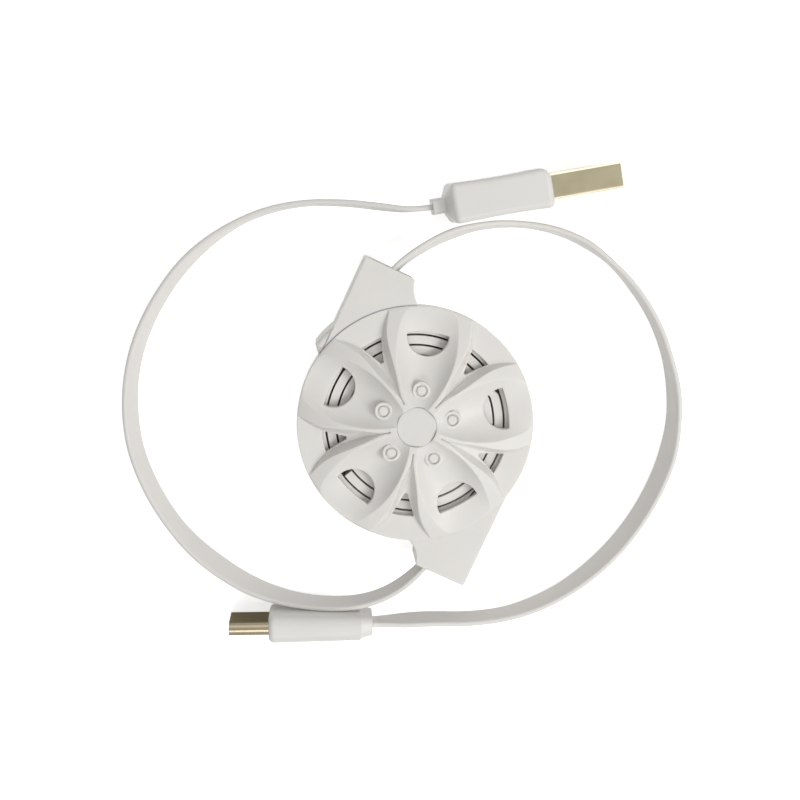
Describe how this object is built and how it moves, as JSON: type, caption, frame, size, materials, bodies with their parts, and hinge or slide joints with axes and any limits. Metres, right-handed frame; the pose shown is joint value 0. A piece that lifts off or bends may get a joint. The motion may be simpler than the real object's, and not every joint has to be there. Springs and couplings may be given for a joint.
{
  "type": "retractable usb cable",
  "caption": "Wheel-shaped retractable reel with a flat cable that pulls out at both sides, to a USB-A plug and a USB-C plug.",
  "frame": {"origin": "on the reel's axis at its flat back face", "axes": "+Z along the reel's axis out of the wheel face, +Y towards the spout of the USB-C end"},
  "size_m": [0.0984, 0.0845, 0.0152],
  "materials": {
    "case_white": "satin moulded plastic, warm white",
    "spool_white": "plain moulded plastic, warm white",
    "cable_white": "soft smooth jacket, warm white",
    "plug_white": "smooth overmoulding, warm white",
    "plug_nickel": "nickel plate, slightly golden",
    "plug_bronze": "dark nickel plate",
    "insulator_white": "plain moulded plastic",
    "insulator_black": "plain moulded plastic",
    "contact_gold": "gold plate",
    "steel": "plain steel"
  },
  "bodies": {
    "case": {"front_cover": "case_white", "rear_cover": "case_white", "hub_cap": "case_white", "centre_screw": "steel", "mainspring": "steel", "cable_lead_a": "cable_white", "cable_lead_c": "cable_white", "cable_a": "cable_white", "usb_a_overmould": "plug_white", "usb_a_shell": "plug_nickel", "usb_a_insulator": "insulator_white", "usb_a_contacts": "contact_gold", "cable_c": "cable_white", "usb_c_overmould": "plug_white", "usb_c_shell": "plug_bronze", "usb_c_insulator": "insulator_black", "usb_c_contacts": "contact_gold", "usb_c_latches": "steel"},
    "spool": {"spool": "spool_white", "wound_cable": "cable_white"},
    "pawl": {"lock_pawl": "spool_white"}
  },
  "joints": [
    {"name": "spool_spin", "type": "hinge", "parent": "case", "child": "spool", "pos_m": [0, 0, 0], "axis": [0, 0, 1], "range_deg": [-900, 540]},
    {"name": "pawl_swing", "type": "hinge", "parent": "case", "child": "pawl", "pos_m": [0.0102, -0.0047, 0], "axis": [0, 0, 1], "range_deg": [0, 32]}
  ]
}
